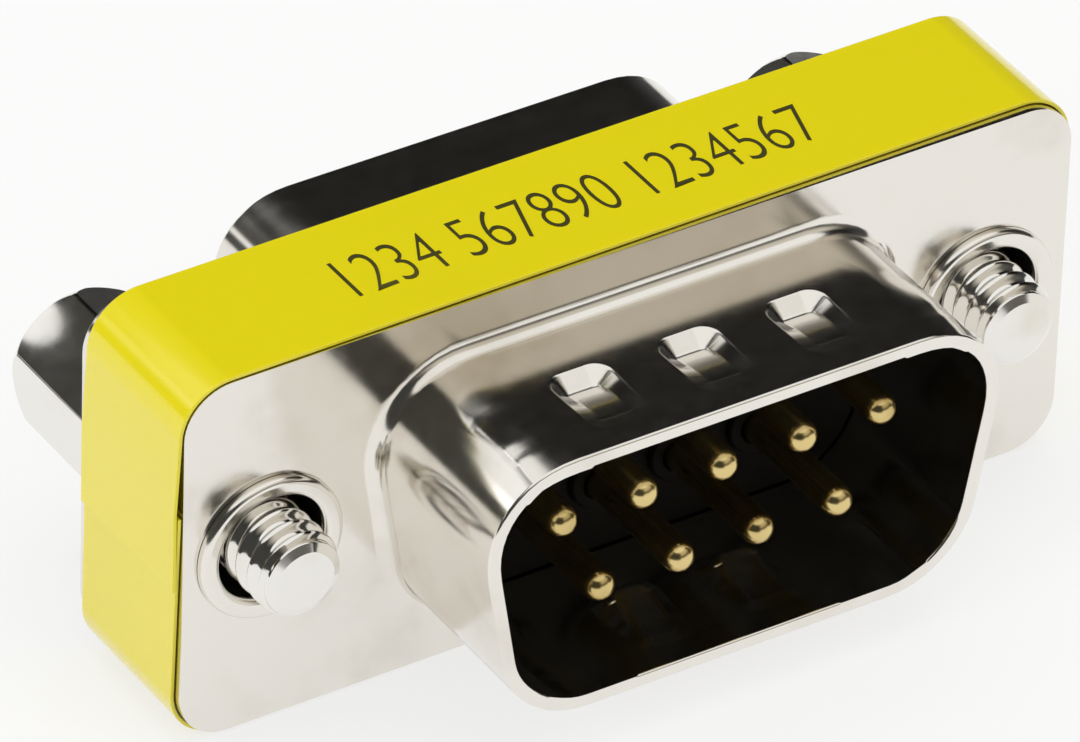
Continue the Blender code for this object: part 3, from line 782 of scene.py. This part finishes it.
def softbox(name, direction, distance, size, watts):
    """A large soft lamp that faces the adapter from the given direction, and that metal doesn't mirror."""
    lamp = bpy.data.lights.new(name, "AREA")
    lamp.shape = "RECTANGLE"
    lamp.size, lamp.size_y = size
    lamp.energy = watts
    made = bpy.data.objects.new(name, lamp)
    direction = Vector(direction).normalized()
    made.location = direction * distance + Vector((0, 0, 0.006))
    made.rotation_mode = "QUATERNION"
    made.rotation_quaternion = direction.to_track_quat("Z", "Y")
    made.visible_glossy = False
    bpy.context.scene.collection.objects.link(made)


softbox("overhead", (0.05, 0.0, 1.0), 0.70, (0.50, 0.50), 1.15)
softbox("front_right", (0.445, -0.586, 0.677), 0.60, (0.34, 0.26), 0.35)
softbox("left", (-0.86, -0.20, 0.42), 0.60, (0.30, 0.26), 0.9)


def white_card(name, place, size, shape):
    """A small white reflector behind the adapter's left, for the metal to mirror."""
    lamp = bpy.data.lights.new(name, "AREA")
    lamp.shape = shape
    lamp.size, lamp.size_y = size
    lamp.energy = math.pi * size[0] * size[1] * (1.0 if shape == "RECTANGLE" else math.pi / 4)
    made = bpy.data.objects.new(name, lamp)
    slant = Vector((0.780, 0.0, 0.626))
    facing = Vector((-0.461, 0.677, 0.574)).normalized()
    made.matrix_world = Matrix((slant, facing.cross(slant), facing)).transposed().to_4x4()
    made.location = place
    made.visible_camera = False
    bpy.context.scene.collection.objects.link(made)


white_card("tube_card", (-0.0311, 0.0265, 0.0396), (0.0365, 0.0072), "RECTANGLE")
white_card("head_card", (-0.0178, 0.0148, 0.0126), (0.00150, 0.0018), "ELLIPSE")

# The room that polished metal mirrors: pale walls round the table, higher at the back left, a beige
# front right, a dark ceiling and one pale panel straight above
world = bpy.data.worlds.new("studio")
bpy.context.scene.world = world
world.use_nodes = True
room = world.node_tree
room.nodes.clear()
way = add(room, "ShaderNodeTexCoord").outputs["Generated"]
level = add(room, "ShaderNodeVectorMath", {1: (1, 1, 0)}, operation="MULTIPLY")
room.links.new(way, level.inputs[0])
compass = add(room, "ShaderNodeVectorMath", operation="NORMALIZE")
room.links.new(level.outputs[0], compass.inputs[0])
split = add(room, "ShaderNodeSeparateXYZ")
room.links.new(compass.outputs[0], split.inputs[0])
east, north = split.outputs["X"], split.outputs["Y"]
split = add(room, "ShaderNodeSeparateXYZ")
room.links.new(way, split.inputs[0])
rise = split.outputs["Z"]
back_height = worked(room, "SUBTRACT", ranged(room, east, 0.25, -0.32, 0.05, 0.60, True),
                     ranged(room, east, -0.38, -0.50, 0.0, 0.20, True))
back_wall = worked(room, "MULTIPLY", back_height, ranged(room, north, 0.0, 0.30, 0.0, 1.0, True))
front_wall = worked(room, "MULTIPLY", ranged(room, north, -0.30, -0.70, 0.0, 0.22, True),
                    ranged(room, east, -0.45, 0.0, 0.0, 1.0, True))
above_wall = worked(room, "SUBTRACT", rise, worked(room, "MAXIMUM", back_wall, front_wall))
wall = ranged(room, above_wall, 0.03, -0.03, 0.0, 1.0, True)
left_foot = worked(room, "MULTIPLY", ranged(room, east, -0.45, -0.62, 0.0, 1.0, True),
                   ranged(room, rise, 0.30, 0.22, 0.0, 1.0, True))
wall = worked(room, "MULTIPLY", wall, worked(room, "SUBTRACT", 1.0, left_foot))
panel = ranged(room, rise, 0.73, 0.78, 0.0, 1.0, True)
front_right = worked(room, "MULTIPLY", ranged(room, north, -0.20, -0.60, 0.0, 1.0, True),
                     ranged(room, east, -0.40, 0.10, 0.0, 1.0, True))
front_right = worked(room, "MULTIPLY", front_right, ranged(room, rise, 0.34, 0.58, 0.16, 1.0, True))
low = blend(room, ranged(room, rise, 0.15, 0.55, 0.0, 1.0, True),
            (0.045, 0.045, 0.045, 1), (0.007, 0.006, 0.005, 1))
low = blend(room, ranged(room, east, -0.20, -0.50, 0.0, 1.0, True), low, (0.050, 0.050, 0.045, 1))
upper = blend(room, front_right, low, (0.64, 0.60, 0.52, 1))
mirrored = blend(room, worked(room, "MAXIMUM", wall, panel), upper, (0.97, 0.97, 0.96, 1))
path = add(room, "ShaderNodeLightPath")
seen = blend(room, path.outputs["Is Glossy Ray"], (0.72, 0.72, 0.72, 1), mirrored)
seen = blend(room, path.outputs["Is Camera Ray"], seen, (1.0, 1.0, 1.0, 1))
background = add(room, "ShaderNodeBackground")
room.links.new(seen, background.inputs["Color"])
room.links.new(background.outputs[0], add(room, "ShaderNodeOutputWorld").inputs["Surface"])

camera_data = bpy.data.cameras.new("camera")
camera_data.sensor_width = 36
camera_data.lens = 392.13
camera_data.clip_start, camera_data.clip_end = 0.01, 20
camera = bpy.data.objects.new("camera", camera_data)
right = Vector((0.84669557, -0.53125484, 0.02957883))
up = Vector((0.29116693, 0.50914665, 0.80993303))
back = Vector((-0.4453408, -0.67715433, 0.58577605))
camera.matrix_world = Matrix((right, up, back)).transposed().to_4x4()
camera.location = (-0.15658852, -0.23528546, 0.21098018)
bpy.context.scene.collection.objects.link(camera)
bpy.context.scene.camera = camera

scene = bpy.context.scene
scene.view_settings.view_transform = "Standard"
